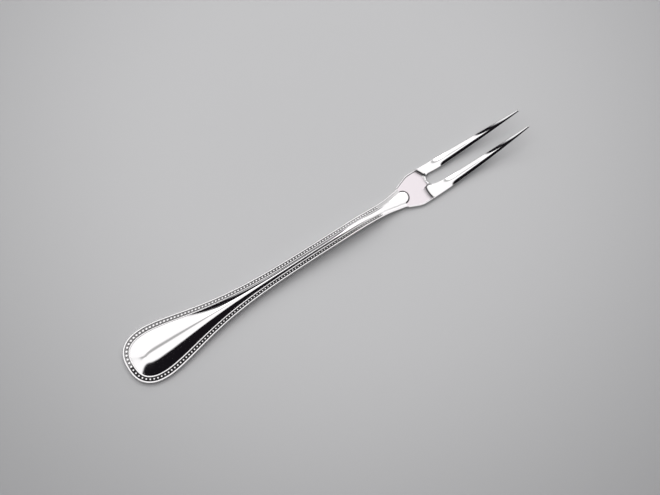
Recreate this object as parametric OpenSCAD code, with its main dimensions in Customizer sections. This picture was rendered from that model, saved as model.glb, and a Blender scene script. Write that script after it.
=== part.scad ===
// Two-tine meat fork with a bead border.
// Lengths run along X from the end of the handle to the points of the tines, and heights rise from the table.

/* [Handle] */
// Length from the end of the handle to the shoulder joint
handle_len = 114.5; // [100:0.5:130]
// Greatest width of the handle
end_w = 19.9; // [16:0.1:24]
// Distance from the end of the handle to its widest place
end_reach = 11.4; // [9:0.1:14]
// Squareness of the round end, where 2 is an ellipse
end_power = 2.5; // [2:0.1:3]
// Width of the stem at the neck
neck_w = 4.6; // [4.2:0.1:6]
// Length over which the handle narrows to the stem
taper_len = 24.9; // [20:0.1:30]
// Fullness of the narrowing
taper_power = 1.6; // [1.4:0.05:2]
// Thickness under the border at the wide end
end_t = 1.8; // [1.4:0.05:2.4]
// Thickness under the border at the neck
neck_t = 2.9; // [2.4:0.05:3.4]
// Height of the panel's crown at the wide end
end_crown = 0.65; // [0.4:0.05:1.2]
// Height of the panel's crown at the neck
neck_crown = 0.24; // [0.1:0.02:0.4]
// Height of the panel's crown past the highest place of the neck and on the tongue
tongue_crown = 0.08; // [0.04:0.01:0.2]
// Height of the panel's edge above the border
panel_step = 0.12; // [0.08:0.01:0.2]

/* [Border] */
// Width of the outer rim at the wide end
rim_w = 0.6; // [0.4:0.02:0.7]
// Width of the outer rim at the neck
rim_w_neck = 0.4; // [0.3:0.02:0.46]
// Height of the outer rim and of the palm's rim
rim_h = 0.42; // [0.3:0.02:0.6]
// Width of the bead groove at the wide end
groove_w = 1.42; // [1.2:0.02:1.7]
// Width of the bead groove at the neck
groove_w_neck = 0.94; // [0.8:0.02:1.04]
// Width of the inner fillet at the wide end
fillet_w = 0.5; // [0.4:0.02:0.7]
// Width of the inner fillet at the neck
fillet_w_neck = 0.26; // [0.2:0.02:0.3]
// Height of the inner fillet
fillet_h = 0.3; // [0.2:0.02:0.4]
// Spacing of the beads at the wide end
bead_pitch = 1.42; // [1.3:0.02:1.8]
// Spacing of the beads at the neck
bead_pitch_neck = 0.98; // [0.9:0.02:1.2]
// Clear groove on each side of a bead, as a share of the groove's width
bead_margin = 0.1; // [0.06:0.01:0.2]
// Share of a bead's radius that lies under the groove's floor
bead_sink = 0.25; // [0.1:0.05:0.5]
// Distance from the shoulder joint back to the last beads
bead_back = 9; // [6:0.5:14]

/* [Palm] */
// Length of the palm from the shoulder joint to the tine roots
palm_len = 10; // [8:0.25:14]
// Width of the palm
palm_w = 12.3; // [11:0.1:15]
// Thickness of the palm under its floor
palm_t = 1.6; // [1.2:0.05:2.2]
// Width of the slope from the palm's floor up to its rim
palm_slope_w = 0.4; // [0.2:0.05:0.8]
// Height of the tongue's edge above the palm's floor
tongue_step = 0.34; // [0.2:0.02:0.5]
// Length of the cove that the palm's floor sweeps up in to the tine roots
cove_len = 1.5; // [1:0.1:2.5]
// Height of that cove at the tine roots
cove_h = 0.25; // [0.15:0.01:0.3]
// Length over which the neck widens into the shoulders
shoulder_len = 25.5; // [20:0.5:32]
// Distance from the shoulder joint forward to the end of that widening
shoulder_ahead = 6; // [4:0.25:8]
// How late the shoulders swell, where 1 is even
shoulder_skew = 2.65; // [2:0.05:3.5]
// How far the palm's shoulders stand out past the end of the border
notch = 0.4; // [0.2:0.05:0.6]
// Length over which the border draws in before the shoulders
notch_len = 4; // [2:0.5:6]

/* [Tines] */
// Length of the tines from the palm to their points
tine_len = 40.5; // [34:0.5:50]
// Gap between the tines near the palm
root_gap = 4.2; // [4.1:0.05:5]
// Gap between the points of the tines
tip_gap = 6; // [5:0.1:7]
// Width of a tine just behind its round point
tip_w = 0.75; // [0.6:0.05:1.2]
// Length of the round point
tip_round = 0.8; // [0.5:0.05:1.2]
// Flat left at the middle of the round crotch
crotch_flat = 0.3; // [0.2:0.05:0.6]
// Height of the crown on a tine near its root
tine_crown = 0.18; // [0.1:0.01:0.4]
// Length over which that crown grows from the flat root
crown_run = 10; // [5:0.5:15]
// Thickness of a tine at its point, without the crown
tip_t = 0.6; // [0.45:0.05:0.9]
// Height of the crown on a tine at its point
tip_crown = 0.04; // [0.02:0.01:0.15]
// Fullness of a tine's outer edge, where 1 is straight
tine_power = 1.45; // [1.1:0.05:2]

/* [Side view] */
// Height of the neck's underside above the table
neck_rise = 4.1; // [3:0.1:6]
// Distance from the shoulder joint back to the highest place of the neck
crest_back = 22; // [18:0.5:30]
// Radius of the bend at the highest place of the neck
crest_r = 100; // [70:5:150]
// Distance from the shoulder joint forward to the lowest place of the palm
belly_ahead = 5.5; // [4:0.25:8]
// Radius of the bend under the palm and the tines
belly_r = 90; // [75:1:120]
// Distance from the end of the handle to where it rests on the table
heel = 5; // [3:0.25:8]
// Radius of the bend under the end of the handle
heel_r = 80; // [60:5:120]
// Width of the rounding along the underside's edges
back_round_w = 0.9; // [0.6:0.05:1.1]
// Height of the rounding along the underside's edges
back_round_h = 0.6; // [0.4:0.05:0.8]

/* [Hidden] */

root_x = handle_len + palm_len;
length = root_x + tine_len;
crest_x = handle_len - crest_back;
belly_x = handle_len + belly_ahead;
bead_stop = handle_len - bead_back;
shoulder_x = handle_len + shoulder_ahead - shoulder_len;

// Distance past the widest place over which the border's cross lines turn square to the stem
turn_len = 20;
// Reach of the fan of cross lines inside the round end of the panel
fan_reach = 5.5;
// Distance along the panel over which that fan dies out
fan_len = 30;
// How slowly the panel's crown falls along the handle, where 1 keeps step with the width
crown_power = 0.6;
// Distance before the neck's highest place over which the panel's crown flattens
flat_len = 10;
// Steps along the round end, sides, tongue, palm, cove, crotch, tines and points
end_steps = 16;
side_steps = 60;
tongue_steps = 6;
palm_steps = 10;
cove_steps = 4;
crotch_steps = 7;
tine_steps = 18;
point_steps = 4;
// Stations crowd towards the shoulder joint by this power
side_power = 1.35;
// Places across half of a crowned panel, from its middle to its edge
crown_places = [0, 0.35, 0.65, 0.85, 1];
// Places across the underside of the tongue, from its edge to its middle
under_places = [0.8, 0.5, 0.2, 0];
// Places across the top of a tine, from its left edge to its right edge
tine_places = [1, 0.75, 0.4, 0, -0.4, -0.75, -1];
// Fullness of a tine's crown, where 2 is a parabola
tine_crown_power = 2;
// Height of the shoulders of a rim's rounded section, as a share of its height
rim_shoulder = 0.6;
// Share of the underside's rounding at its middle corner, across and up
round_corner = [0.3, 0.25];
// Fullness of a tine's rounded back, where 2 is a parabola
tine_back_power = 3;
// Smallest share of the section left at the very point of a tine
point_blunt = 0.12;

silver = [0.78, 0.78, 0.79];
bright = [0.86, 0.86, 0.87];

// Step from 0 to 1 with level ends, and with no bend at the ends
function ease(t) = let(u = min(1, max(0, t))) u*u*u*(10 + u*(6*u - 15));

// Step from 0 to 1 with level ends
function soft_step(t) = let(u = min(1, max(0, t))) u*u*(3 - 2*u);

function mix(a, b, t) = a + (b - a)*t;

// Height between two level places, with the bend at each
function level_curve(x, x0, z0, bend0, x1, z1, bend1) =
    let(l = x1 - x0, t = (x - x0)/l)
    mix(z0, z1, ease(t)) + l*l/2*t*t*pow(1 - t, 2)*(bend0*(1 - t) + bend1*t);

// Height of the underside: rests at the heel and the belly, arches at the neck and sweeps up along the tines
function under(x) =
    x < heel ? pow(x - heel, 2)/(2*heel_r)
    : x < crest_x ? level_curve(x, heel, 0, 1/heel_r, crest_x, neck_rise, -1/crest_r)
    : x < belly_x ? level_curve(x, crest_x, neck_rise, -1/crest_r, belly_x, 0, 1/belly_r)
    : pow(x - belly_x, 2)/(2*belly_r);

// Height of the border's groove and of the palm's floor, one unbroken surface
function land(x) = under(x) + (x < crest_x
    ? mix(end_t, neck_t, ease((x - end_reach)/(crest_x - end_reach)))
    : mix(neck_t, palm_t, ease((x - crest_x)/(handle_len - crest_x))));

// 1 at the wide end of the handle, falling to 0 along the stem
function swell(x) = exp(-pow(max(0, x - end_reach)/taper_len, taper_power));

// Half the width of the neck, the shoulders and the palm
function half_w(x) =
    mix(neck_w/2, end_w/2, swell(x))
    + (palm_w - neck_w)/2*soft_step(pow(max(0, x - shoulder_x)/shoulder_len, shoulder_skew));

// Half the width of the handle, whose border draws in before the shoulders stand out
function handle_w(x) = half_w(x) - notch*soft_step((x - handle_len)/notch_len + 1);

function rim(x) = mix(rim_w_neck, rim_w, swell(x));
function groove(x) = mix(groove_w_neck, groove_w, swell(x));
function fillet(x) = mix(fillet_w_neck, fillet_w, swell(x));
function crown(x) =
    mix(mix(neck_crown, end_crown, pow(swell(x), crown_power)), tongue_crown,
        ease((x - crest_x)/flat_len + 1));
function pitch(x) = mix(bead_pitch, bead_pitch_neck, min(1, x/bead_stop));

// One side of the handle's outline, from the middle of its end to the shoulder joint
outline = concat(
    [for (i = [0 : end_steps - 1]) let(a = 90*i/end_steps)
        [end_reach*(1 - pow(cos(a), 2/end_power)), end_w/2*pow(sin(a), 2/end_power)]],
    [for (i = [0 : side_steps])
        let(t = 1 - pow(1 - i/side_steps, side_power), x = mix(end_reach, handle_len, t))
        [x, handle_w(x)]]);
last = len(outline) - 1;

// Angle of the outline at each of its points
headings = [for (i = [0 : last])
    let(a = i == 0 ? [outline[1].x, -outline[1].y] : outline[i - 1], b = outline[min(i + 1, last)])
    atan2(b.y - a.y, b.x - a.x)];

// Angle of the cross line at each point: square to the round end, then square to the stem
crossings = [for (i = [0 : last]) headings[i]*(1 - ease((outline[i].x - end_reach)/turn_len))];

// Point of the plan that lies a distance in from the outline
function inset(i, d) =
    outline[i] + d/cos(headings[i] - crossings[i])*[sin(crossings[i]), -cos(crossings[i])];

function border_w(x) = rim(x) + groove(x) + fillet(x);

// Radius of the tongue's round end, which is half the panel's width at the shoulder joint
tongue_r = inset(last, border_w(handle_len)).y;

// Place on the middle line that a cross line runs to
function middle(edge) = [edge.x + fan_reach*pow(max(0, 1 - (edge.x - border_w(0))/fan_len), 3), 0];

// Crowned top between the middle line and an edge, ending with the foot of the edge
function crowned(mid, edge, rise, step) = concat(
    [for (p = crown_places) let(q = mix(mid, edge, p)) [q.x, q.y, land(q.x) + step + rise*(1 - p*p)]],
    [[edge.x, edge.y, land(edge.x)]]);

// Height of the panel's edge above the border, which grows past the beads to the height of the tongue
function step_h(x) = mix(panel_step, tongue_step, ease((x - bead_stop)/bead_back));

// Outer edge and underside of a half section, from the border's edge round to the middle line
function edge_and_back(edge, corner, flat, mid) = [
    [edge.x, edge.y, land(edge.x)],
    [edge.x, edge.y, under(edge.x) + back_round_h],
    [corner.x, corner.y, under(corner.x) + back_round_h*round_corner[1]],
    [flat.x, flat.y, under(flat.x)],
    [mid.x, 0, under(mid.x)]];

function handle_section(i) =
    let(x = outline[i].x, edge = inset(i, border_w(x)), mid = middle(edge))
    concat(
        crowned(mid, edge, crown(x), step_h(x)),
        edge_and_back(outline[i], inset(i, back_round_w*round_corner[0]), inset(i, back_round_w), mid));

// Section of the tongue, seated on the palm's floor
function tongue_section(a) =
    let(x = handle_len + tongue_r*sin(a), w = tongue_r*cos(a), rise = crown(x)*cos(a))
    concat(
        crowned([x, 0], [x, w], rise, tongue_step),
        [for (p = concat([1], under_places)) [x, w*p, land(x)]]);

// Triangles of a grid of points, without those that have no area.
// A square whose first corner lies flat in the middle plane is cut along its other diagonal.
function grid_faces(rings, base, flip) = [
    for (i = [0 : len(rings) - 2], k = [0 : len(rings[0]) - 2])
    let(
        n = len(rings[0]), a = [i, k], b = [i + 1, k], c = [i + 1, k + 1], d = [i, k + 1],
        on_middle = [for (v = [a, b, d]) if (rings[v[0]][v[1]].y == 0) v])
    for (t = len(on_middle) == 3 ? [[a, b, c], [a, c, d]] : [[a, b, d], [b, c, d]])
    let(p = [for (v = t) rings[v[0]][v[1]]])
    if (p[0] != p[1] && p[1] != p[2] && p[0] != p[2])
    [for (v = flip ? [t[2], t[1], t[0]] : t) base + v[0]*n + v[1]]];

function flat_list(rings) = [for (ring = rings) each ring];

// Solid from half sections whose two ends lie on the middle plane, closed by their mirror image
module mirrored_shell(rings) {
    points = flat_list(rings);
    others = [for (p = points) [p.x, -p.y, p.z]];
    polyhedron(concat(points, others),
        concat(grid_faces(rings, 0, false), grid_faces(rings, len(points), true)));
}

// Solid through closed sections, each a top from left to right and a bottom of as many points back again
module loft(rings) {
    n = len(rings[0]);
    closed = [for (ring = rings) concat(ring, [ring[0]])];
    start = [for (k = [0 : n/2 - 2]) [k, k + 1, n - 2 - k, n - 1 - k]];
    finish = [for (f = start) [for (k = [3 : -1 : 0]) f[k] + (len(rings) - 1)*(n + 1)]];
    polyhedron(flat_list(closed), concat(grid_faces(closed, 0, false), start, finish));
}

// Puts the middle of the length at the origin
module placed() {
    translate([-length/2, 0, 0])
        children();
}

// Rounded section of a wire that lies on the border between two distances in from the outline
function wire_ring(i, outer, inner, h, side) =
    let(d = [outer, (outer + inner)/2, inner], q = [for (v = d) inset(i, v)])
    [for (v = [[0, h*rim_shoulder], [1, h], [2, h*rim_shoulder], [2, 0], [1, 0], [0, 0]])
        let(p = q[v[0]]) [p.x, side*p.y, land(p.x) + v[1]]];

// Wire round the whole border, where lane gives its outer and inner distances from the outline at each place
module border_wire(lane, h) {
    loft(concat(
        [for (i = [last : -1 : 1]) let(d = lane(outline[i].x)) wire_ring(i, d[0], d[1], h, -1)],
        [for (i = [0 : last]) let(d = lane(outline[i].x)) wire_ring(i, d[0], d[1], h, 1)]));
}

// Middle line of the bead groove, and the count of beads up to each of its points
bead_line = [for (i = [0 : last]) let(x = outline[i].x) inset(i, rim(x) + groove(x)/2)];
bead_counts = [for (i = 0, c = 0; i <= last;
    c = c + (i < last ? norm(bead_line[i + 1] - bead_line[i])/pitch(bead_line[i].x) : 0), i = i + 1) c];
beads_a_side = floor(lookup(bead_stop, [for (i = [0 : last]) [bead_line[i].x, bead_counts[i]]]));

// Place of a bead by its count from the middle of the handle's end
function bead_place(count) = [
    lookup(count, [for (i = [0 : last]) [bead_counts[i], bead_line[i].x]]),
    lookup(count, [for (i = [0 : last]) [bead_counts[i], bead_line[i].y]])];

// One bead: a ball cut flat where it sits on the groove's floor
module bead(place, side) {
    r = groove(place.x)*(1 - 2*bead_margin)/2;
    slope = atan2(land(place.x + r) - land(place.x - r), 2*r);
    translate([place.x, side*place.y, land(place.x)])
        rotate([0, -slope, 0])
            difference() {
                translate([0, 0, -bead_sink*r])
                    sphere(r, $fn = 24);
                translate([0, 0, -2*r])
                    cube(4*r, center = true);
            }
}

// Points of a half section with their mirror image: from left to right, or back from right to left
function left_to_right(x, half) = concat(
    [for (p = half) [x, p[0], p[1]]],
    [for (k = [len(half) - 2 : -1 : 0]) [x, -half[k][0], half[k][1]]]);
function right_to_left(x, half) = [for (p = left_to_right(x, half)) [p.x, -p.y, p.z]];

// Rise of the palm's floor in the cove before the tine roots
function cove(x) = cove_h*pow(max(0, (x - root_x)/cove_len + 1), 2);

// Section of the palm: rim, sunk floor and rim on top, with a rounded underside
function palm_ring(x) =
    let(
        w = half_w(x), r = rim(x), top = land(x), base = under(x), floor_z = top + cove(x),
        face = [
            [w, top + rim_h*rim_shoulder],
            [w - r/2, top + rim_h],
            [w - r, top + rim_h*rim_shoulder],
            [w - r - palm_slope_w, floor_z],
            [0, floor_z]],
        back = [
            [w, base + back_round_h],
            [w - back_round_w*round_corner[0], base + back_round_h*round_corner[1]],
            [w - back_round_w, base],
            [w/2, base],
            [0, base]])
    concat(left_to_right(x, face), right_to_left(x, back));

palm_stations = concat(
    [for (i = [0 : palm_steps - 1]) mix(handle_len, root_x - cove_len, i/palm_steps)],
    [for (i = [0 : cove_steps]) mix(root_x - cove_len, root_x, i/cove_steps)]);

crotch_r = (root_gap - crotch_flat)/2;

// Inner and outer edges of the left tine, with the round of the crotch at its root
function tine_inner(x) =
    mix(root_gap, tip_gap, (x - root_x)/tine_len)/2
    - crotch_r + sqrt(max(0, crotch_r*crotch_r - pow(max(0, crotch_r - x + root_x), 2)));
function tine_outer(x) = mix(palm_w/2, tip_gap/2 + tip_w, pow((x - root_x)/tine_len, tine_power));

// Section of a tine: crowned top and a narrower, rounded back, drawn in by the given share at the point
function tine_ring(x, share) =
    let(
        t = (x - root_x)/tine_len,
        y = (tine_outer(x) + tine_inner(x))/2, w = (tine_outer(x) - tine_inner(x))/2*share,
        thick = mix(palm_t + rim_h, tip_t, t),
        rise = mix(tine_crown, tip_crown, t)*soft_step((x - root_x)/crown_run),
        middle_z = under(x) + thick/2,
        top = [for (p = tine_places) thick/2 + rise*(1 - pow(abs(p), tine_crown_power))],
        back = [for (p = tine_places) thick/2*(1 - pow(abs(p), tine_back_power))],
        ends = len(tine_places) - 1)
    concat(
        [for (k = [0 : ends]) [x, y + w*tine_places[k], middle_z + share*top[k]]],
        [for (k = [0 : ends]) [x, y - w*tine_places[k], middle_z - share*back[k]]]);

// Stations along the crotch's round, the shaft and the round point, each with the share of the section there
tine_stations = concat(
    [for (i = [0 : crotch_steps - 1]) [root_x + crotch_r*(1 - cos(90*i/crotch_steps)), 1]],
    [for (i = [0 : tine_steps - 1]) [mix(root_x + crotch_r, length - tip_round, i/tine_steps), 1]],
    [for (i = [0 : point_steps]) let(a = 90*i/point_steps)
        [length - tip_round*(1 - sin(a)), max(cos(a), point_blunt)]]);

module tine() {
    loft([for (s = tine_stations) tine_ring(s[0], s[1])]);
}

// Core of the handle: crowned panel, groove floor, sides, stem and tongue
module handle() {
    color(silver)
        placed()
            mirrored_shell(concat(
                [for (i = [0 : last]) handle_section(i)],
                [for (i = [0 : tongue_steps]) tongue_section(90*i/tongue_steps)]));
}

module outer_rim() {
    color(bright)
        placed()
            border_wire(function(x) [0, rim(x)], rim_h);
}

module bead_border() {
    color(bright)
        placed() {
            bead(bead_place(0), 1);
            for (side = [-1, 1], k = [1 : beads_a_side])
                bead(bead_place(k), side);
        }
}

module inner_fillet() {
    color(bright)
        placed()
            border_wire(function(x) [rim(x) + groove(x), border_w(x)], fillet_h);
}

module palm() {
    color(silver)
        placed()
            loft([for (x = palm_stations) palm_ring(x)]);
}

module left_tine() {
    color(silver)
        placed()
            tine();
}

module right_tine() {
    color(silver)
        placed()
            mirror([0, 1, 0])
                tine();
}

handle();
outer_rim();
bead_border();
inner_fillet();
palm();
left_tine();
right_tine();
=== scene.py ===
import bmesh
import bpy
import numpy as np
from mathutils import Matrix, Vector


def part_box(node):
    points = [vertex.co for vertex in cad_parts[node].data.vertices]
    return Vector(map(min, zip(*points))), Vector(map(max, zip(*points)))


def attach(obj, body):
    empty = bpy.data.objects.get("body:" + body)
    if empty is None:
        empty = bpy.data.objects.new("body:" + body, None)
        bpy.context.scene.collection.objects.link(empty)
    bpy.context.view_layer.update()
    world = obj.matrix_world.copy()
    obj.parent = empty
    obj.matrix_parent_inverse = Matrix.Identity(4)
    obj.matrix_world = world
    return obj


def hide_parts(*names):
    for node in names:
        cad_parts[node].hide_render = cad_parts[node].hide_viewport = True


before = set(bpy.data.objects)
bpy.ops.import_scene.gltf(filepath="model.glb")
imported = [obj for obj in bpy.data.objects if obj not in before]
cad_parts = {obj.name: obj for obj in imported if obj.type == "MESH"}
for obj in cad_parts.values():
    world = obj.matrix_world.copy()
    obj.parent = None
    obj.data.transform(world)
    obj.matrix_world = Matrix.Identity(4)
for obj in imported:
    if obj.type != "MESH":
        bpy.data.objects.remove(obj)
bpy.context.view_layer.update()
mm = 0.001

# Places along the fork, in mm from the end of the handle
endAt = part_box("outer_rim")[0].x


def along(metres):
    return (metres - endAt) / mm


def width(node):
    low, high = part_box(node)
    return (high.y - low.y) / mm


jointX = along(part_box("palm")[0].x)  # handle meets palm
rootX = along(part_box("left_tine")[0].x)  # palm meets tines
tipX = along(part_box("left_tine")[1].x)
lastBeadX = jointX - 9
endW = width("handle")
palmW = width("palm")
rootGap = 4.2  # between the tines, at their roots

sideView = dict(heel=5, heelR=80, crestX=jointX - 22, crestR=100, neckRise=4.1,
                bellyX=rootX - 4.5, bellyR=90)
sheet = dict(endT=1.8, neckT=2.9, palmT=1.6, roundW=0.9, roundH=0.6)
plan = dict(endReach=11.4, endPower=2.5, neckW=4.6, taper=24.9, taperPower=1.6,
            shoulderX=rootX - 29.5, shoulder=25.5, skew=2.65, notch=0.4, notchLen=4,
            turnLen=20, endRows=70, sideRows=330, crowding=1.35)
# Widths of the border's lanes, each at the neck and at the wide end
border = dict(rim=(0.4, 0.6), groove=(0.94, 1.42), fillet=(0.26, 0.5), rimH=0.42, filletH=0.3)
print("places read from the frame")


def mix(a, b, t):  # a at 0, b at 1, in a straight line
    return a + (b - a) * t


def ease(t):  # quintic step, level and unbent at both ends
    u = np.clip(t, 0, 1)
    return u ** 3 * (10 + u * (6 * u - 15))


def softStep(t):  # cubic step, level at both ends
    u = np.clip(t, 0, 1)
    return u * u * (3 - 2 * u)


# From one height to another, level at both: a quintic step plus a bump that gives each end its bend
def levelCurve(x, x0, z0, bend0, x1, z1, bend1):
    reach = x1 - x0
    t = np.clip((x - x0) / reach, 0, 1)
    bump = reach ** 2 / 2 * (t * (1 - t)) ** 2 * (bend0 * (1 - t) + bend1 * t)
    return mix(z0, z1, ease(t)) + bump


# Height of the underside: a parabola at the heel, two level curves over the arch, a parabola ahead
def under(x):
    s = sideView
    crest = -1 / s["crestR"]
    back = levelCurve(x, s["heel"], 0, 1 / s["heelR"], s["crestX"], s["neckRise"], crest)
    front = levelCurve(x, s["crestX"], s["neckRise"], crest, s["bellyX"], 0, 1 / s["bellyR"])
    tines = (x - s["bellyX"]) ** 2 / (2 * s["bellyR"])
    heel = (x - s["heel"]) ** 2 / (2 * s["heelR"])
    return np.select([x < s["heel"], x < s["crestX"], x < s["bellyX"]], [heel, back, front], tines)


# Height of the land that the border stands on: the underside plus the sheet's thickness
def land(x):
    endX, crestX = plan["endReach"], sideView["crestX"]
    behind = mix(sheet["endT"], sheet["neckT"], ease((x - endX) / (crestX - endX)))
    ahead = mix(sheet["neckT"], sheet["palmT"], ease((x - crestX) / (jointX - crestX)))
    return under(x) + np.where(x < crestX, behind, ahead)


def swell(x):  # a bell curve's flank: 1 at the handle's end, falling to 0 at the neck
    return np.exp(-(np.maximum(0, x - plan["endReach"]) / plan["taper"]) ** plan["taperPower"])


def tapered(x, pair):  # from a size at the neck to one at the end, by the swell
    return mix(pair[0], pair[1], swell(x))


def halfW(x):  # half the neck plus the swell, then the shoulder
    flare = (np.maximum(0, x - plan["shoulderX"]) / plan["shoulder"]) ** plan["skew"]
    return mix(plan["neckW"], endW, swell(x)) / 2 + (palmW - plan["neckW"]) / 2 * softStep(flare)


def handleW(x):  # the border draws in before the shoulders stand out
    return halfW(x) - plan["notch"] * softStep((x - jointX) / plan["notchLen"] + 1)


def borderW(x):  # the three lanes side by side
    return sum(tapered(x, border[lane]) for lane in ("rim", "groove", "fillet"))


# Outline from the middle of the end to the joint: a superellipse quarter, then the half width along x
def outline():
    a = np.linspace(0, np.pi / 2, plan["endRows"], endpoint=False)
    power = 2 / plan["endPower"]
    t = np.linspace(0, 1, plan["sideRows"] + 1)
    roundX = plan["endReach"] * (1 - np.cos(a) ** power)
    sideX = mix(plan["endReach"], jointX, 1 - (1 - t) ** plan["crowding"])
    x = np.concatenate([roundX, sideX])
    return x, np.concatenate([endW / 2 * np.sin(a) ** power, handleW(sideX)])


# Ways that the border is set in: square to the outline at the end, straight across further on
def insetFrame(x, y):
    bothX = np.concatenate([x[:0:-1], x])
    bothY = np.concatenate([-y[:0:-1], y])
    heading = np.arctan2(np.gradient(bothY), np.gradient(bothX))[len(x) - 1:]
    crossing = heading * (1 - ease((x - plan["endReach"]) / plan["turnLen"]))
    reach = 1 / np.cos(heading - crossing)
    return reach * np.sin(crossing), -reach * np.cos(crossing)


outX, outY = outline()
inX, inY = insetFrame(outX, outY)


def inset(depth):  # the outline moved in by a depth
    return outX + depth * inX, outY + depth * inY


def gridFaces(rows, columns, wrap):  # squares between a grid's points, closed round if wrapped
    across = columns if wrap else columns - 1
    r, c = np.meshgrid(np.arange(rows - 1), np.arange(across), indexing="ij")
    nextC = (c + 1) % columns
    here, there = r * columns, (r + 1) * columns
    corners = [here + c, here + nextC, there + nextC, there + c]
    return np.stack(corners, -1).reshape(-1, 4).tolist()


def tubeFaces(rows, columns):  # rings joined into a tube, with both ends closed
    last = (rows - 1) * columns
    ends = [list(range(columns))[::-1], list(range(last, last + columns))]
    return gridFaces(rows, columns, True) + ends


weld = dict(doubles=2e-7, slivers=1e-8, joint=0.01)  # the first two in metres


# A closed mesh from points in mm: doubles merged, faces turned outward, edges kept crisp past an angle
def makePiece(name, node, points, faces, crisp, dark=None, satin=None):
    place = points * mm + np.array([endAt, 0, 0])
    mesh = bpy.data.meshes.new(name)
    mesh.from_pydata(place.tolist(), [], faces)
    # the dark values become an attribute of painted shade, with some real tarnish in the grooves
    for label, values in (("paintedShadeAndTarnish", dark), ("satin", satin)):
        if values is not None:
            layer = mesh.attributes.new(label, "FLOAT", "POINT")
            layer.data.foreach_set("value", values.astype(np.float32))
    made = bmesh.new()
    made.from_mesh(mesh)
    bmesh.ops.remove_doubles(made, verts=made.verts, dist=weld["doubles"])
    bmesh.ops.dissolve_degenerate(made, edges=made.edges, dist=weld["slivers"])
    bmesh.ops.recalc_face_normals(made, faces=made.faces)
    made.to_mesh(mesh)
    openEdges = sum(not edge.is_manifold for edge in made.edges)
    made.free()
    mesh.shade_smooth()
    mesh.set_sharp_from_angle(angle=np.radians(crisp))
    piece = bpy.data.objects.new(name, mesh)
    bpy.context.scene.collection.objects.link(piece)
    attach(piece, "root")
    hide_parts(node)
    print(name, len(mesh.polygons), "faces, open edges", openEdges)
    return piece


# Handle: panel from the middle to its edge, its step, the land, the side, the rounded back
panel = dict(crown=(0.24, 0.63), crownPower=0.6, bend=(1.5, 0.5), step=0.12, fan=5.5, fanLen=30,
             flatLen=10, tongueCrown=0.08, tongueStep=0.34,
             columns=26, crowding=1.3, sideColumns=8, backColumns=15, tongueRings=13)
# Painted shade, with some tarnish in the groove: shares in the lanes from the panel's edge out, then in
# the groove's left side at the end and along the taper with its drop on the stem, in its right side at
# the end and on the stem, on the tongue. The right side is painted darker, as painted reflection of the
# dark room
shadeAndPatina = dict(lanes=(0.5, 1, 1, 0.3), left=(0.7, 0.84), leftFrom=38, leftRun=26,
              leftDrop=0.21, dropFrom=72, right=(1, 0.7), rightFrom=90, rightRun=10,
              fade=2.5, fadeLeft=0.4, tongue=0.75, tongueEdge=0.9, tongueFrom=0.9, tongueRun=0.1)


def fanned(x, first):  # a row's middle lies ahead of its edge, by a cube that dies out along the handle
    return x + panel["fan"] * np.maximum(0, 1 - (x - first) / panel["fanLen"]) ** 3


rimLane = tapered(outX, border["rim"])
grooveLane = rimLane + tapered(outX, border["groove"])
panelLane = borderW(outX)
edgeX, edgeY = inset(panelLane)
midX = fanned(edgeX, borderW(0.0))
pastBeads = ease((outX - lastBeadX) / (jointX - lastBeadX))
stepH = mix(panel["step"], panel["tongueStep"], pastBeads)
flatter = ease((outX - sideView["crestX"]) / panel["flatLen"] + 1)
crownH = mix(mix(*panel["crown"], swell(outX) ** panel["crownPower"]), panel["tongueCrown"], flatter)
crownBend = mix(*panel["bend"], swell(outX))  # the crown's sides grow straighter towards the wide end
tongueR = edgeY[-1]
topShares = 1 - (1 - np.linspace(0, 1, panel["columns"])) ** panel["crowding"]


# Crown across a panel or a tine: the log of a hyperbolic cosine, bent in the middle, straight outside
def crowned(p, bend):
    return 1 - np.log(np.cosh(p / bend)) / np.log(np.cosh(1 / bend))


def handleRows():  # columns from the middle of the top, round the side, to the middle of the back
    columns = []
    for p in topShares:
        x = mix(midX, edgeX, p)
        columns.append((x, edgeY * p, land(x) + stepH + crownH * crowned(p, crownBend), 0 * x))
    # painted shade on the land: half at the panel's edge, full in the groove, faint at the outer edge
    for lane, shade in zip((panelLane, grooveLane, rimLane, 0 * outX), shadeAndPatina["lanes"]):
        x, y = inset(lane)
        columns.append((x, y, land(x), 0 * x + shade))
    for a in np.linspace(0, np.pi / 2, panel["sideColumns"]):  # a quarter ellipse turns side into back
        x, y = inset(sheet["roundW"] * (1 - np.cos(a)))
        columns.append((x, y, under(x) + sheet["roundH"] * (1 - np.sin(a)), 0 * x))
    backX, backY = inset(sheet["roundW"])
    backMid = fanned(backX, sheet["roundW"])
    for p in np.linspace(1, 0, panel["backColumns"])[1:]:
        x = mix(backMid, backX, p)
        columns.append((x, backY * p, under(x), 0 * x))
    return np.stack([np.stack(column, -1) for column in columns], 1)


# Tongue: rings of a half circle past the joint with a parabola on top, lying on the palm's floor
def tongueRows(columnCount):
    rest = columnCount - panel["columns"]
    # painted shadow on the tongue's side wall, darkest near the top's edge
    nearEdge = softStep((topShares - shadeAndPatina["tongueFrom"]) / shadeAndPatina["tongueRun"])
    dark = np.concatenate([shadeAndPatina["tongueEdge"] * nearEdge, np.ones(rest)])
    rings = []
    for a in np.linspace(0, np.pi / 2, panel["tongueRings"]):
        x = jointX + tongueR * np.sin(a)
        half = tongueR * np.cos(a)
        low = float(land(np.array(x)))
        crown = crownH[-1] * np.cos(a) * (1 - topShares ** 2)
        y = np.concatenate([half * topShares, np.linspace(half, 0, rest)])
        z = np.concatenate([low + panel["tongueStep"] + crown, np.full(rest, low)])
        rings.append(np.stack([np.full(columnCount, x), y, z, dark], -1))
    return np.stack(rings)


def onLeft(y):  # 0 on the fork's right, 1 on its left
    return softStep((y + 1) / 2)


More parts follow.
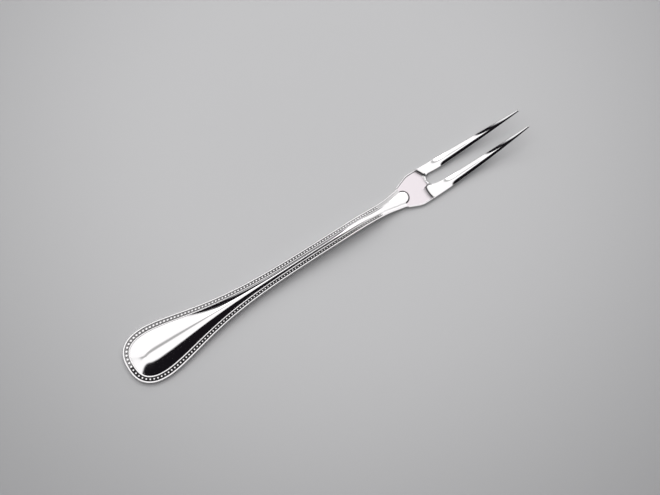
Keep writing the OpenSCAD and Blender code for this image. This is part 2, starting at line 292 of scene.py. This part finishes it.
def grooveShadeAndPatina(x, y):  # soft steps of painted shade along the groove, with some tarnish; its left side is painted lighter, as painted reflection
    p = shadeAndPatina
    rise = softStep((x - p["leftFrom"]) / p["leftRun"])
    left = mix(*p["left"], rise) - p["leftDrop"] * softStep((x - p["dropFrom"]) / p["leftRun"])
    right = mix(*p["right"], softStep((x - p["rightFrom"]) / p["rightRun"]))
    gone = ease((x - lastBeadX + p["fade"]) / p["fade"])  # past the last beads
    both = mix(right * (1 - gone), left * (1 - p["fadeLeft"] * gone), onLeft(y))
    # on the tongue the painted shadow is kept at a fixed share
    onTongue = x > jointX + weld["joint"]
    return np.where(onTongue, p["tongue"], both)


def mirrored(grid):  # a half and its mirror image across the fork
    other = grid * np.array([1, -1, 1, 1])
    rows, columns = grid.shape[:2]
    faces = gridFaces(rows, columns, False)
    shift = rows * columns
    more = [[i + shift for i in face[::-1]] for face in faces]
    return np.concatenate([grid.reshape(-1, 4), other.reshape(-1, 4)]), faces + more


def handlePiece():
    stem = handleRows()
    points, faces = mirrored(np.concatenate([stem, tongueRows(stem.shape[1])]))
    # painted shade along the groove and lanes, with some tarnish in the groove, lighter on the left as
    # painted reflection
    dark = points[:, 3] * grooveShadeAndPatina(points[:, 0], points[:, 1])
    return makePiece("handleBody", "handle", points[:, :3], faces, crisp=35, dark=dark)


handleBody = handlePiece()

# Rim and fillet: flat bands with rounded edges, swept from joint to joint round the end
band = dict(power=10, rounding=0.25, columns=19)


def bandHeight(q):  # a flat-topped superellipse, q from -1 to 1 across
    return (1 - np.abs(q) ** band["power"]) ** band["rounding"]


def bandPiece(name, node, innerLane, outerLane, height):  # the profile carried along two lanes
    rows = []
    for q in np.sin(np.linspace(-np.pi / 2, np.pi / 2, band["columns"])):
        x, y = inset(mix(outerLane, innerLane, (1 + q) / 2))
        rows.append(np.stack([x, y, land(x) + height * bandHeight(q)], -1))
    half = np.stack(rows, 1)
    whole = np.concatenate([half[:0:-1] * np.array([1, -1, 1]), half])
    faces = tubeFaces(len(whole), half.shape[1])
    return makePiece(name, node, whole.reshape(-1, 3), faces, crisp=50)


outerRim = bandPiece("outerRim", "outer_rim", rimLane, 0 * outX, border["rimH"])
innerFillet = bandPiece("innerFillet", "inner_fillet", panelLane, grooveLane, border["filletH"])

# Beads: domes along the groove's middle, spaced by a pitch that shrinks towards the neck. A dome is a
# superellipse of twice the fullness; painted shade darkens it outside a painted highlight at its top,
# which reaches a share of its radius. The pitches give as many beads as the solids have
beadRow = dict(pitch=1.425, pitchNeck=0.9835, margin=0.1, sink=0.25, fullness=3, rings=7, sides=14,
               bright=0.38, brightLeft=0.52, brightFade=0.3, spare=2, slopeReach=0.1)


def beadBorder():
    b = beadRow
    keep = outX < lastBeadX + b["spare"]
    laneX, laneY = (lane[keep] for lane in inset((rimLane + grooveLane) / 2))
    steps = np.hypot(np.diff(laneX), np.diff(laneY))
    pitch = mix(b["pitch"], b["pitchNeck"], np.minimum(1, laneX / lastBeadX))
    tally = np.concatenate([[0], np.cumsum(steps / ((pitch[1:] + pitch[:-1]) / 2))])
    places = np.arange(int(np.interp(lastBeadX, laneX, tally)) + 1)
    x = np.interp(places, tally, laneX)
    y = np.interp(places, tally, laneY)
    x, y = np.concatenate([x, x[1:]]), np.concatenate([y, -y[1:]])
    r = tapered(x, border["groove"]) * (1 - 2 * b["margin"]) / 2
    slope = (land(x + b["slopeReach"]) - land(x - b["slopeReach"])) / (2 * b["slopeReach"])
    polar = np.pi / 2 * np.linspace(0, 1, b["rings"]) ** b["fullness"]
    around = np.linspace(0, 2 * np.pi, b["sides"], endpoint=False)
    spread = np.sin(polar) ** (1 / b["fullness"])
    lift = (1 - b["sink"]) * np.maximum(0, np.cos(polar)) ** (1 / b["fullness"])
    out = np.sqrt(1 - b["sink"] ** 2) * spread[:, None]
    middle = np.zeros(b["sides"])  # the flat foot closes in its middle
    unitX = np.concatenate([(out * np.cos(around)).ravel(), middle])
    unitY = np.concatenate([(out * np.sin(around)).ravel(), middle])
    unitZ = np.concatenate([np.repeat(lift, b["sides"]), middle])
    fromTop = np.concatenate([np.repeat(spread, b["sides"]), middle + 1])
    px = x[:, None] + r[:, None] * unitX
    py = y[:, None] + r[:, None] * unitY
    pz = land(x)[:, None] + r[:, None] * (unitZ + slope[:, None] * unitX)
    points = np.stack([px, py, pz], -1).reshape(-1, 3)
    dome = np.array(gridFaces(b["rings"] + 1, b["sides"], True))
    shifts = np.arange(len(x)) * len(unitX)
    faces = (dome[None] + shifts[:, None, None]).reshape(-1, 4).tolist()
    # painted highlight and shade: each dome keeps a lit top out to this share, larger on the left as
    # painted reflection, and is darkened beyond it
    bright = b["bright"] + b["brightLeft"] * onLeft(y)
    dark = softStep((fromTop - bright[:, None]) / b["brightFade"]).ravel()
    dark *= grooveShadeAndPatina(points[:, 0], points[:, 1])
    print("beads", len(x))
    return makePiece("beads", "bead_border", points, faces, crisp=60, dark=dark)


beads = beadBorder()

# Gap: its round root lies a little to the left, past a level lip, and it is centred again further on
crotch = dict(aside=0.8, run=8, drift=1.5, round=rootGap / 2, lip=0.6, lipH=0.3,
              lipW=0.75, lipEdge=0.3, lipStop=1.7, lipEnd=1.1)
# Step up to the tines, and the painted shade along it
rootStep = dict(bow=0.06, bowAt=3.8, bowBack=1.1, slant=(1, -0.5), slantAt=1.9, slantLen=2.9,
                crossAt=-2.2, crossLen=0.9, coveH=0.55, coveLen=1.6, edgeH=0.45, edgeLen=0.3)
rootPaintedShade = dict(line=0.3, gapMargin=1.2, rimMargin=0.35, fade=0.4, cove=0.5, coveLen=2.6)


def rootLine(y):  # where the raised tops begin: a shallow parabola on the right, askew on the left
    s = rootStep
    q = y - crotch["aside"]
    bow = s["bow"] * (np.abs(q) - s["bowAt"]) ** 2 - s["bowBack"]
    askew = mix(*s["slant"], np.clip((q - s["slantAt"]) / s["slantLen"], 0, 1))
    return rootX + mix(bow, askew, softStep((q - s["crossAt"]) / s["crossLen"]))


def onLip(x, y):  # 1 within a short way of the gap's round root, 0 further off and along the tines
    c = crotch
    before = np.minimum(0, x - rootX - c["lip"] - c["round"])
    off = np.hypot(before, y - c["aside"]) - c["round"]
    atRoot = softStep((rootX + c["lipStop"] - x) / c["lipEnd"])
    return softStep((c["lipW"] - off) / c["lipEdge"]) * atRoot


def rootRise(x, y):  # share of the step's height: a cove, then a short steep edge, but a level lip
    s = rootStep
    past = x - rootLine(y)
    cove = s["coveH"] * np.clip(past / s["coveLen"] + 1, 0, 1) ** 2
    rise = cove + s["edgeH"] * softStep(past / s["edgeLen"] + 0.5)
    return mix(rise, crotch["lipH"], onLip(x, y))


def rootShade(x, y):  # painted shade along the step and, more faintly, in the cove
    d = rootPaintedShade
    past = x - rootLine(y)
    offGap = softStep((np.abs(y - crotch["aside"]) - d["gapMargin"]) / d["fade"])
    offRim = softStep((palmW / 2 - d["rimMargin"] - np.abs(y)) / d["fade"])
    cove = d["cove"] * np.clip(past / d["coveLen"] + 1, 0, 1) ** 2 * (past < 0) * (1 - onLip(x, y))
    return np.maximum(offGap * offRim * np.exp(-(past / d["line"]) ** 2), cove)


# Palm: rings across the fork with the rim, a hollow slope, a floor with a cove at the tines, a back
palmForm = dict(rimColumns=12, rimTurn=1.2, slopeW=0.1, slopeColumns=7, floorColumns=41,
                sideColumns=7, backColumns=7, rings=61, coveLen=2.4, coveRings=38,
                tongueLine=0.5, satinIn=0.4, satinStop=0.2)


def palmHalf(x, side):  # half a ring; the slope falls as a square, the tongue's shade as a flat bell
    f = palmForm
    rimW, rimH = float(tapered(jointX, border["rim"])), border["rimH"]
    half, level, low = (float(height(np.array(x))) for height in (halfW, land, under))
    q = np.sin(np.linspace(-np.pi / 2, f["rimTurn"], f["rimColumns"]))
    rimY = half - rimW / 2 * (1 + q)
    rimZ = rimH * bandHeight(q)
    floorW = half - rimW - f["slopeW"]
    fall = np.linspace(0, 1, f["slopeColumns"])[1:]
    slopeY = mix(rimY[-1], floorW, fall)
    slopeZ = mix(rimH * rootRise(x, side * slopeY), rimZ[-1], (1 - fall) ** 2)
    floorY = np.linspace(floorW, 0, f["floorColumns"])[1:]
    floorZ = rimH * rootRise(x, side * floorY)
    turn = np.linspace(0, np.pi / 2, f["sideColumns"])
    sideY = half - sheet["roundW"] * (1 - np.cos(turn))
    sideZ = low + sheet["roundH"] * (1 - np.sin(turn))
    backY = np.linspace(half - sheet["roundW"], 0, f["backColumns"])[1:]
    topY = np.concatenate([rimY, slopeY, floorY])
    topZ = level + np.concatenate([rimZ, slopeZ, floorZ])
    y = np.concatenate([topY[::-1], sideY, backY])
    z = np.concatenate([topZ[::-1], sideZ, 0 * backY + low])
    onTop = np.arange(len(y)) < len(topY)
    # painted shadow line on the palm's floor round the tongue's end
    fromTongue = np.maximum(0, np.hypot(x - jointX, y) - tongueR)
    dark = onTop * np.maximum(rootShade(x, side * y), np.exp(-(fromTongue / f["tongueLine"]) ** 4))
    inside = softStep((half - rimW - y) / f["satinIn"])
    before = softStep((rootLine(side * y) - x) / f["satinStop"])
    satin = onTop * inside * before * (1 - onLip(x, side * y))
    return np.stack([0 * y + x, side * y, z, dark, satin], -1)


def palmPlate():
    coveX = rootX - palmForm["coveLen"]
    plain = np.linspace(jointX, coveX, palmForm["rings"])[:-1]
    stations = np.concatenate([plain, np.linspace(coveX, rootX, palmForm["coveRings"])])
    grid = np.stack([np.concatenate([palmHalf(x, 1), palmHalf(x, -1)[-2:0:-1]]) for x in stations])
    points = grid.reshape(-1, 5)
    dark, satin = points[:, 3], points[:, 4]
    faces = tubeFaces(*grid.shape[:2])
    return makePiece("palmPlate", "palm", points[:, :3], faces, crisp=40, dark=dark, satin=satin)


palm = palmPlate()

# Tines: edges straight to the points with a round crotch, a low crown above, rounded below. The crown
# is a share of the half width
tine = dict(tipGap=6, tipW=0.75, tipRound=0.8, tipT=0.6, blunt=0.12, power=1.45,
            crown=0.083, crownFrom=3, crownRun=7, bend=0.45, backPower=3,
            edge=0.12, edgeWide=0.35, edgeDeep=0.6, rimIn=0.35, rimRun=0.45,
            lipRings=9, arcRings=26, shaftRings=110, pointRings=9,
            topColumns=25, edgeColumns=6, backColumns=15)


def tineEdges(x, side):  # inner and outer edge, out from the middle: a quarter circle, then lines
    t = (x - rootX) / (tipX - rootX)
    r = crotch["round"]
    ahead = np.maximum(0, x - rootX - crotch["lip"])
    bend = np.sqrt(np.maximum(0, r ** 2 - np.maximum(0, r - ahead) ** 2)) / r
    aside = side * crotch["aside"] * (1 - np.clip((x - rootX) / crotch["run"], 0, 1)) ** crotch["drift"]
    inner = mix(rootGap, tine["tipGap"], t) / 2 * bend + aside
    outer = mix(palmW / 2, tine["tipGap"] / 2 + tine["tipW"], t ** tine["power"])
    return inner, outer


def tineStations():
    lipEnd = rootX + crotch["lip"]
    quarter = np.pi / 2
    lip = np.linspace(rootX, lipEnd, tine["lipRings"])[:-1]
    arc = lipEnd + crotch["round"] * (1 - np.cos(np.linspace(0, quarter, tine["arcRings"])))
    shaft = np.linspace(arc[-1], tipX - tine["tipRound"], tine["shaftRings"])[1:]
    point = tipX - tine["tipRound"] * (1 - np.sin(np.linspace(0, quarter, tine["pointRings"])))[1:]
    return np.concatenate([lip, arc, shaft, point])


def tineGrid(side):  # rings of a crowned top, rounded edges and a back that is a flat cubic bow
    k = tine
    p = np.sin(np.linspace(-np.pi / 2, np.pi / 2, k["topColumns"]))
    turn = np.linspace(0, np.pi / 2, k["edgeColumns"])[1:]
    backP = np.linspace(1, -1, k["backColumns"])
    rings = []
    for x in tineStations():
        t = (x - rootX) / (tipX - rootX)
        gone = np.clip((x - tipX) / k["tipRound"] + 1, 0, 1)
        share = max(float(np.sqrt(1 - gone ** 2)), k["blunt"])
        inner, outer = tineEdges(x, side)
        mid, half = (inner + outer) / 2, (outer - inner) / 2 * share
        thick = mix(sheet["palmT"] + border["rimH"], k["tipT"], t)
        crown = k["crown"] * half * softStep((x - rootX - k["crownFrom"]) / k["crownRun"])
        centre = float(under(np.array(x))) + thick / 2
        deep = thick / 2 * share
        edge = min(k["edge"], k["edgeWide"] * half, k["edgeDeep"] * deep)
        topY = mid + (half - edge) * p
        outerY = mid + half - edge + edge * np.sin(turn)
        innerY = mid - half + edge - edge * np.sin(turn[::-1])
        corner = edge * (1 - np.cos(turn))
        y = np.concatenate([topY, outerY, innerY])
        z = centre + deep + np.concatenate([crown * crowned(p, k["bend"]), -corner, -corner[::-1]])
        drop = border["rimH"] * (1 - rootRise(x, side * y))
        z -= drop * softStep((outer - k["rimIn"] - y) / k["rimRun"])
        shade = rootShade(x, side * y)
        backY = mid + half * backP
        backZ = centre - deep * (1 - np.abs(backP) ** k["backPower"])
        split = len(topY) + len(outerY)
        y = np.concatenate([y[:split], backY, y[split:]])
        z = np.concatenate([z[:split], backZ, z[split:]])
        dark = np.concatenate([shade[:split], 0 * backY, shade[split:]])
        rings.append(np.stack([0 * y + x, side * y, z, dark], -1))
    return np.stack(rings)


def tinePiece(name, node, side):
    grid = tineGrid(side)
    points = grid.reshape(-1, 4)
    return makePiece(name, node, points[:, :3], tubeFaces(*grid.shape[:2]), crisp=50, dark=points[:, 3])


leftTine = tinePiece("leftTine", "left_tine", 1)
rightTine = tinePiece("rightTine", "right_tine", -1)
print("pieces made")


# A socket that takes arithmetic: each operator adds one Math node
class Wire:
    def __init__(self, tree, socket):
        self.tree = tree
        self.socket = socket

    def node(self, kind, settings, values, out=0):  # any other node
        made = self.tree.nodes.new(kind)
        for name, value in settings.items():
            setattr(made, name, value)
        for name, value in values.items():
            if isinstance(value, Wire):
                self.tree.links.new(value.socket, made.inputs[name])
            else:
                made.inputs[name].default_value = value
        return Wire(self.tree, made.outputs[out])

    def math(self, operation, *values):
        return self.node("ShaderNodeMath", {"operation": operation}, dict(enumerate(values)))

    def __add__(self, other):
        return self.math("ADD", self, other)

    def __sub__(self, other):
        return self.math("SUBTRACT", self, other)

    def __rsub__(self, other):
        return self.math("SUBTRACT", other, self)

    def __mul__(self, other):
        return self.math("MULTIPLY", self, other)

    def __truediv__(self, other):
        return self.math("DIVIDE", self, other)

    def __rtruediv__(self, other):
        return self.math("DIVIDE", other, self)

    __radd__ = __add__
    __rmul__ = __mul__

    def ramp(self, low, high):  # soft step from 0 at one value to 1 at another
        values = {"Value": self, "From Min": low, "From Max": high}
        return self.node("ShaderNodeMapRange", {"interpolation_type": "SMOOTHSTEP"}, values)

    def blend(self, first, second):  # this socket mixes two colours
        values = {0: self, 6: first, 7: second}
        return self.node("ShaderNodeMix", {"data_type": "RGBA"}, values, 2)


def newShader(name):
    material = bpy.data.materials.new(name)
    material.use_nodes = True
    return material, Wire(material.node_tree, None), material.node_tree.nodes["Principled BSDF"]


def feed(wire, shader, name):
    wire.tree.links.new(wire.socket, shader.inputs[name])


# Polished silver: faint smudges in the gloss, hairlines along the fork, a satin palm, and a near-black
# colour that paints shade in grooves, steps and round the beads, with some real tarnish in the grooves
silverLook = dict(clean=(0.94, 0.93, 0.93, 1), smudged=(0.92, 0.91, 0.91, 1),
                  satin=(0.785, 0.73, 0.757, 1), paintedShadeAndTarnish=(0.03, 0.027, 0.031, 1), shadeAndTarnishMost=0.95,
                  smudgeScale=60.0, smudgeTone=(0.35, 0.7), smudgeEdge=(0.4, 0.75),
                  hairScale=(160.0, 2600.0, 2600.0), hairEdge=(0.55, 0.8),
                  rough=0.04, smudgeRough=0.02, hairRough=0.02, satinRough=0.06, shadeAndTarnishRough=0.5,
                  bump=0.04, bumpDepth=0.00002)
look = silverLook
silver, make, shader = newShader("polishedSilver")
shader.inputs["Metallic"].default_value = 1
at = make.node("ShaderNodeTexCoord", {}, {}, "Object")
blotch = {"Vector": at, "Scale": look["smudgeScale"], "Detail": 3.0}
smudge = make.node("ShaderNodeTexNoise", {}, blotch)
stretched = make.node("ShaderNodeMapping", {}, {"Vector": at, "Scale": look["hairScale"]})
hair = make.node("ShaderNodeTexNoise", {}, {"Vector": stretched, "Scale": 1.0, "Detail": 2.0})
paintedShadeAndTarnish = make.node("ShaderNodeAttribute", {"attribute_name": "paintedShadeAndTarnish"}, {}, "Fac")
satin = make.node("ShaderNodeAttribute", {"attribute_name": "satin"}, {}, "Fac")
tone = smudge.ramp(*look["smudgeTone"]).blend(look["clean"], look["smudged"])
tone = satin.blend(tone, look["satin"])
# the dark attribute mixes in a near-black colour: painted shade, partly tarnish in the grooves
feed((paintedShadeAndTarnish * look["shadeAndTarnishMost"]).blend(tone, look["paintedShadeAndTarnish"]), shader, "Base Color")
gloss = look["rough"] + smudge.ramp(*look["smudgeEdge"]) * look["smudgeRough"]
gloss = gloss + hair.ramp(*look["hairEdge"]) * look["hairRough"]
gloss = gloss + satin * look["satinRough"] + paintedShadeAndTarnish * look["shadeAndTarnishRough"]
feed(gloss, shader, "Roughness")
relief = {"Height": hair, "Strength": look["bump"], "Distance": look["bumpDepth"]}
feed(make.node("ShaderNodeBump", {}, relief), shader, "Normal")
for piece in (handleBody, outerRim, innerFillet, beads, palm, leftTine, rightTine):
    piece.data.materials.append(silver)
print("silver made")

# Floor: a pale sheet with a painted pool of light, its colour darker away from the fork
floorLook = dict(half=3, near=(0.508, 0.508, 0.513, 1), far=(0.315, 0.315, 0.32, 1),
                 middle=(0.02, 0.03, 0.0), fade=(0.05, 0.21), rough=0.8, shine=0.1)
reach = floorLook["half"]
floorMesh = bpy.data.meshes.new("floor")
corners = [(-reach, -reach, 0), (reach, -reach, 0), (reach, reach, 0), (-reach, reach, 0)]
floorMesh.from_pydata(corners, [], [(0, 1, 2, 3)])
floor = bpy.data.objects.new("floor", floorMesh)
bpy.context.scene.collection.objects.link(floor)
paper, make, shader = newShader("paperFloor")
shader.inputs["Roughness"].default_value = floorLook["rough"]
shader.inputs["Specular IOR Level"].default_value = floorLook["shine"]
at = make.node("ShaderNodeTexCoord", {}, {}, "Object")
span = {0: at, 1: floorLook["middle"]}
apart = make.node("ShaderNodeVectorMath", {"operation": "DISTANCE"}, span, "Value")
# painted light falloff: the floor's colour fades from near to far with distance from the fork
feed(apart.ramp(*floorLook["fade"]).blend(floorLook["near"], floorLook["far"]), shader, "Base Color")
floorMesh.materials.append(paper)

# Room seen in the metal: a white card overhead with a brighter middle, a faint seam and a dark post at
# its far edge, black in front, behind and to the left, a pale pane past that, walls that darken below
roomLook = dict(card=(1.1, 1.09, 1.1, 1), middle=(2.0, 1.98, 2.0, 1), seam=(0.35, 0.35, 0.35, 1),
                seamMost=0.9, gloom=(0.008, 0.007, 0.009, 1), pane=(0.95, 0.95, 0.96, 1),
                walls=(0.5, 0.5, 0.51, 1), lowWalls=(0.12, 0.12, 0.125, 1),
                backdrop=(0.6, 0.6, 0.6, 1), lowest=0.05, nearSkew=0.25, sideSkew=0.3, seamSkew=0.2)
# Soft edges, each from where it is 0 to where it is 1
edges = dict(cardNear=(-0.09, -0.06), cardFar=(0.59, 0.54),
             cardLeft=(-0.52, -0.48), cardRight=(1.6, 1.2),
             postLeft=(-0.1, -0.085), postRight=(0.1, 0.05), postNear=(0.37, 0.43),
             seamNear=(0.17, 0.215), seamFar=(0.28, 0.235),
             seamRight=(0.02, -0.04), seamLeft=(-0.34, -0.26),
             frontFar=(-0.06, -0.09), frontNear=(-1.6, -0.9), frontLeft=(-1.2, -0.7),
             backNear=(0.54, 0.59), backFar=(1.0, 0.8), leftIn=(-0.48, -0.52), leftOut=(-0.7, -0.62),
             wallLow=(0.6, 0.3), paneIn=(-0.68, -0.74), paneNear=(-0.06, 0.04), paneFar=(1.6, 1.2),
             middleNear=(0.16, 0.24), middleFar=(0.5, 0.46),
             middleLeft=(-0.15, -0.08), middleRight=(0.7, 0.5))


def inside(**limits):  # product of named soft edges, each along its own wire
    ramps = [wire.ramp(*edges[name]) for name, wire in limits.items()]
    product = ramps[0]
    for ramp in ramps[1:]:
        product = product * ramp
    return product


room = bpy.data.worlds.new("room")
room.use_nodes = True
bpy.context.scene.world = room
make = Wire(room.node_tree, None)
look = roomLook
toward = make.node("ShaderNodeTexCoord", {}, {}, "Generated")
rayX, rayY, rayZ = (make.node("ShaderNodeSeparateXYZ", {}, {"Vector": toward}, axis) for axis in "XYZ")
height = make.math("MAXIMUM", rayZ, look["lowest"])
gx = rayX / height
gy = rayY / height
near = gy + gx * look["nearSkew"]  # the card's edges run askew
side = gx - gy * look["sideSkew"]
line = gy - gx * look["seamSkew"]
post = inside(postLeft=gx, postRight=gx, postNear=gy)
card = inside(cardNear=near, cardFar=gy, cardLeft=side, cardRight=gx) * (1 - post)
seam = inside(seamNear=line, seamFar=line, seamRight=gx, seamLeft=gx)
front = inside(frontFar=near, frontNear=gy, frontLeft=gx)
back = make.math("MAXIMUM", inside(backNear=gy), post) * inside(backFar=gy)
left = inside(leftIn=side, leftOut=side)
gloom = make.math("MAXIMUM", make.math("MAXIMUM", front, back), left)
pane = inside(paneIn=side, paneNear=near, paneFar=gy)
walls = inside(wallLow=rayZ).blend(look["walls"], look["lowWalls"])
walls = gloom.blend(pane.blend(walls, look["pane"]), look["gloom"])
middle = inside(middleNear=gy, middleFar=gy, middleLeft=gx, middleRight=gx)
bright = middle.blend(look["card"], look["middle"])
bright = (seam * look["seamMost"]).blend(bright, look["seam"])
seen = card.blend(walls, bright)
straight = make.node("ShaderNodeLightPath", {}, {}, "Is Camera Ray")
feed(straight.blend(seen, look["backdrop"]), room.node_tree.nodes["Background"], "Color")

# Lamp: a soft box overhead, a little towards the picture's upper left, unseen in the metal
softLight = dict(size=0.9, energy=7.6, up=0.25, left=0.08, height=0.9,
                 pictureUp=(0.531, 0.847, 0), pictureRight=(0.847, -0.531, 0))
lampData = bpy.data.lights.new("softBox", "AREA")
lampData.shape = "SQUARE"
lampData.size = softLight["size"]
lampData.energy = softLight["energy"]
lamp = bpy.data.objects.new("softBox", lampData)
bpy.context.scene.collection.objects.link(lamp)
upward = Vector(softLight["pictureUp"]) * softLight["up"]
rightward = Vector(softLight["pictureRight"]) * softLight["left"]
lamp.location = upward - rightward + Vector((0, 0, softLight["height"]))
lamp.rotation_euler = (-lamp.location).to_track_quat("-Z", "Y").to_euler()
lamp.visible_glossy = False

# Camera: nearly overhead, turned so that the tines point to the upper right
shot = dict(lens=108, azimuth=-32.22, elevation=82, aim=(0.5, -1.5, 3), distance=0.7015, clip=0.01)
cameraData = bpy.data.cameras.new("camera")
cameraData.lens = shot["lens"]
cameraData.clip_start = shot["clip"]
camera = bpy.data.objects.new("camera", cameraData)
bpy.context.scene.collection.objects.link(camera)
bpy.context.scene.camera = camera
azimuth, elevation = np.radians(shot["azimuth"]), np.radians(shot["elevation"])
level = np.cos(elevation)
offset = Vector((np.sin(azimuth) * level, -np.cos(azimuth) * level, np.sin(elevation)))
camera.location = Vector(shot["aim"]) * mm + offset * shot["distance"]
camera.rotation_euler = offset.to_track_quat("Z", "Y").to_euler()
bpy.context.scene.view_settings.view_transform = "Standard"
print("stage set")
